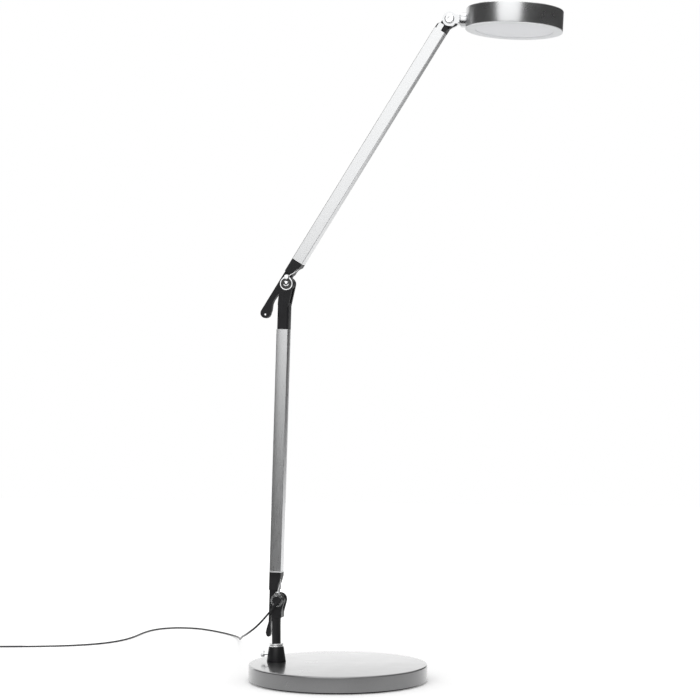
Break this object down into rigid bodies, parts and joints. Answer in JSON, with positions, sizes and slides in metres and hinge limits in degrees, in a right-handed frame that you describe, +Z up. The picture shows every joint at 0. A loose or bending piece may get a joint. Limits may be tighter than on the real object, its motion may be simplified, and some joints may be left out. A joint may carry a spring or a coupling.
{
  "type": "counterweight balance desk lamp",
  "caption": "Balanced-arm desk lamp: round weighted foot, swivelling post, two square sprung arms and a flat round light head on a tilting neck.",
  "frame": {"origin": "centre of the foot pad's underside, on the surface the lamp stands on", "axes": "+Z up, +X from the post side of the base towards the light head, arms in the XZ plane, spring pegs and cord outlet on the -Y side"},
  "size_m": [0.9292, 0.5604, 0.837],
  "materials": {
    "silver_shell": "satin silver paint",
    "iron_weight": "bare casting",
    "base_plate": "matt black",
    "foot_rubber": "matt",
    "black_casting": "gloss black",
    "black_fitting": "smooth black glass-filled nylon",
    "black_cap": "smooth black",
    "bright_hardware": "polished plating",
    "steel_hardware": "plain steel",
    "dark_washer": "matt dark",
    "arm_aluminium": "fine satin silver",
    "head_aluminium": "satin silver",
    "white_board": "white solder mask",
    "led_yellow": "phosphor",
    "rim_plastic": "light satin",
    "opal": "opal, slightly translucent",
    "switch_grey": "satin grey",
    "cord_black": "smooth vinyl sheath",
    "adapter_black": "fine matt"
  },
  "bodies": {
    "base": {"base_cover": "silver_shell", "base_ballast": "iron_weight", "base_bottom_plate": "base_plate", "base_bottom_screws": "steel_hardware", "base_foot_pad": "foot_rubber", "socket_cone": "black_casting", "socket_bolt": "steel_hardware", "thrust_ring_lower": "bright_hardware"},
    "thumb": {"thumb_screw": "bright_hardware"},
    "swivel": {"thrust_ring_upper": "bright_hardware", "post_spindle": "steel_hardware", "post": "black_casting", "spring_anchor_lower": "bright_hardware", "friction_discs_lower": "dark_washer", "pivot_bolt_lower": "steel_hardware", "pivot_nut_lower": "steel_hardware", "cord_gland": "black_cap", "cord": "cord_black", "cord_coil": "cord_black", "adapter_gland": "black_cap", "adapter_body": "adapter_black", "adapter_pins": "steel_hardware"},
    "lower_arm": {"lower_fitting": "black_fitting", "lower_collar": "bright_hardware", "lower_tube": "arm_aluminium", "lower_top_fitting": "black_fitting", "lower_arm_screws": "steel_hardware", "lower_spring": "steel_hardware", "lower_spring_ends": "steel_hardware", "lower_spring_wire": "steel_hardware", "spring_anchor_upper": "bright_hardware", "friction_discs_upper": "dark_washer", "pivot_bolt_upper": "bright_hardware", "pivot_head_washer_upper": "dark_washer", "pivot_nut_upper": "steel_hardware"},
    "upper_arm": {"upper_fitting": "black_fitting", "upper_tail_rivet": "bright_hardware", "upper_collar": "bright_hardware", "upper_tube": "arm_aluminium", "upper_top_fitting": "black_fitting", "upper_arm_screws": "steel_hardware", "upper_spring": "steel_hardware", "upper_spring_ends": "steel_hardware", "upper_spring_wire": "steel_hardware"},
    "head": {"head_knuckle": "head_aluminium", "head_friction_discs": "dark_washer", "head_bolt": "bright_hardware", "head_nut": "steel_hardware", "head_collar": "head_aluminium", "head_neck_nut": "steel_hardware", "head_housing": "silver_shell", "head_led_plate": "head_aluminium", "head_plate_screws": "steel_hardware", "head_led_board": "white_board", "head_led_chips": "led_yellow", "head_diffuser_rim": "rim_plastic", "head_diffuser": "opal", "head_switch_module": "switch_grey"},
    "switch": {"switch_button": "switch_grey"}
  },
  "joints": [
    {"name": "post_swivel", "type": "hinge", "parent": "base", "child": "swivel", "pos_m": [-0.0802, 0, 0.045], "axis": [0, 0, 1], "range_deg": [-170, 170]},
    {"name": "thumb_turn", "type": "hinge", "parent": "base", "child": "thumb", "pos_m": [-0.0962, 0, 0.0308], "axis": [-1, 0, 0], "range_deg": [0, 360]},
    {"name": "lower_tilt", "type": "hinge", "parent": "swivel", "child": "lower_arm", "pos_m": [-0.077, 0, 0.0998], "axis": [0, 1, 0], "range_deg": [-1, 60], "deforming": ["lower_spring_wire"]},
    {"name": "upper_tilt", "type": "hinge", "parent": "lower_arm", "child": "upper_arm", "pos_m": [-0.06478, 0, 0.49961], "axis": [0, 1, 0], "range_deg": [-14, 79], "deforming": ["upper_spring_wire"]},
    {"name": "head_tilt", "type": "hinge", "parent": "upper_arm", "child": "head", "pos_m": [0.14375, 0, 0.82444], "axis": [0, 1, 0], "range_deg": [-75, 40]},
    {"name": "switch_press", "type": "slide", "parent": "head", "child": "switch", "axis": [-0.0541, 0, -0.9985], "range_m": [0, 0.0012], "stiffness_N_per_m": 800, "springref_m": -0.0006}
  ]
}
